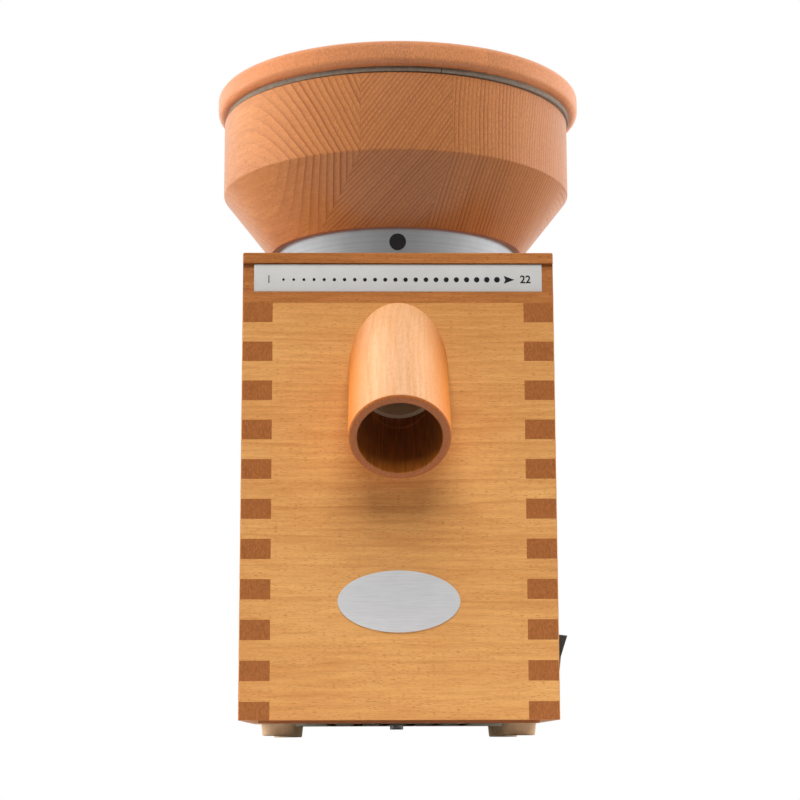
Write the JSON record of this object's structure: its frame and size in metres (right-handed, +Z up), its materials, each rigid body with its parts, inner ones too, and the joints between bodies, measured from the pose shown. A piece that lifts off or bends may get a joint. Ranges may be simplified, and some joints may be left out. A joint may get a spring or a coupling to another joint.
{
  "type": "electric grain mill",
  "caption": "Household stone mill: finger-jointed beech cabinet with slanted flour spout, turned beech hopper and lid on a metal ring that turns to set the grind.",
  "frame": {"origin": "on the table plane under the centre of the whole mill's box, which reaches from the spout's rim to the back of the lid; the common axis of hopper, stones and motor stands at x = -1.2 mm, y = +18.1 mm", "axes": "+Z up, -Y the front with the spout and the scale, +X to the right as seen from the front"},
  "size_m": [0.194, 0.2302, 0.3407],
  "materials": {
    "beech": "oiled, satin, lengthwise grain",
    "aluminium": "brushed and anodised, satin",
    "zinc_steel": "zinc-plated, slightly dull",
    "core_steel": "varnished stacked laminations",
    "shaft_steel": "ground bright",
    "bearing_steel": "polished rings",
    "cast_aluminium": "die-cast, fine grain",
    "copper": "enamelled copper wire, varnished",
    "black_plastic": "moulded, fine matt",
    "grey_plastic": "moulded, satin",
    "holder_plastic": "moulded, satin, ivory",
    "terminal_plastic": "moulded, translucent white",
    "fan_plastic": "moulded, satin blue",
    "felt": "pressed wool, fuzzy",
    "stone": "corundum grit in ceramic bond, rough",
    "rubber": "moulded, matt, brown-grey",
    "can": "drawn can, satin"
  },
  "bodies": {
    "housing": {"front_panel": "beech", "back_panel": "beech", "left_panel": "beech", "right_panel": "beech", "top_board": "beech", "corner_blocks": "beech", "base_plate": "zinc_steel", "foot_front_left": "rubber", "foot_front_right": "rubber", "foot_back_left": "rubber", "foot_back_right": "rubber", "foot_screws": "zinc_steel", "scale_strip": "aluminium", "name_plate": "aluminium", "spout": "beech", "flour_chute": "grey_plastic", "chamber_pot": "grey_plastic", "pot_screws": "zinc_steel", "shaft_seal": "felt", "thread_insert": "holder_plastic", "insert_screws": "zinc_steel", "motor_plate": "zinc_steel", "plate_screws": "zinc_steel", "upper_end_bell": "cast_aluminium", "lower_end_bell": "cast_aluminium", "stator_core": "core_steel", "stator_windings": "copper", "motor_bolts": "zinc_steel", "upper_bearing_outer": "bearing_steel", "lower_bearing_outer": "bearing_steel", "capacitor": "can", "capacitor_clamp": "zinc_steel", "clamp_screw": "zinc_steel", "terminal_block": "terminal_plastic", "switch_body": "black_plastic", "cord_gland": "black_plastic", "gland_nut": "black_plastic"},
    "seal": {"thread_felt": "felt"},
    "hopper": {"hopper": "beech", "hopper_ring": "aluminium", "pointer_plug": "black_plastic", "stone_holder": "holder_plastic", "fixed_stone": "stone", "hopper_screws": "zinc_steel"},
    "lid": {"lid": "beech", "lid_felt": "felt"},
    "rotor": {"motor_shaft": "shaft_steel", "rotor_core": "core_steel", "cooling_fan": "fan_plastic", "upper_bearing_inner": "bearing_steel", "lower_bearing_inner": "bearing_steel", "drive_pin": "shaft_steel", "carrier_nut": "zinc_steel", "carrier_spring": "shaft_steel"},
    "runner": {"runner_stone": "stone", "stone_carrier": "cast_aluminium", "wiper_blades": "zinc_steel"},
    "rocker": {"rocker": "black_plastic"}
  },
  "joints": [
    {"name": "hopper_rise", "type": "slide", "parent": "housing", "child": "seal", "axis": [0, 0, 1], "range_m": [-0.00075, 0.00075]},
    {"name": "grind_setting", "type": "hinge", "parent": "seal", "child": "hopper", "pos_m": [-0.0012, 0.01812, 0.24545], "axis": [0, 0, 1], "range_deg": [-65, 65]},
    {"name": "lid_lift", "type": "slide", "parent": "hopper", "child": "lid", "axis": [0, 0, 1], "range_m": [0, 0.05]},
    {"name": "motor_spin", "type": "hinge", "parent": "housing", "child": "rotor", "pos_m": [-0.0012, 0.01812, 0.125], "axis": [0, 0, 1], "continuous": true},
    {"name": "stone_float", "type": "slide", "parent": "rotor", "child": "runner", "axis": [0, 0, 1], "range_m": [-0.001, 0], "stiffness_N_per_m": 8000, "springref_m": 0.003, "deforming": ["carrier_spring"]},
    {"name": "rocker_press", "type": "hinge", "parent": "housing", "child": "rocker", "pos_m": [0.0748, -0.00887, 0.0402], "axis": [0, -1, 0], "range_deg": [0, 24]}
  ],
  "couplings": [
    {"joint": "hopper_rise", "follows": "grind_setting", "m_per_rad": 0.00063662}
  ]
}
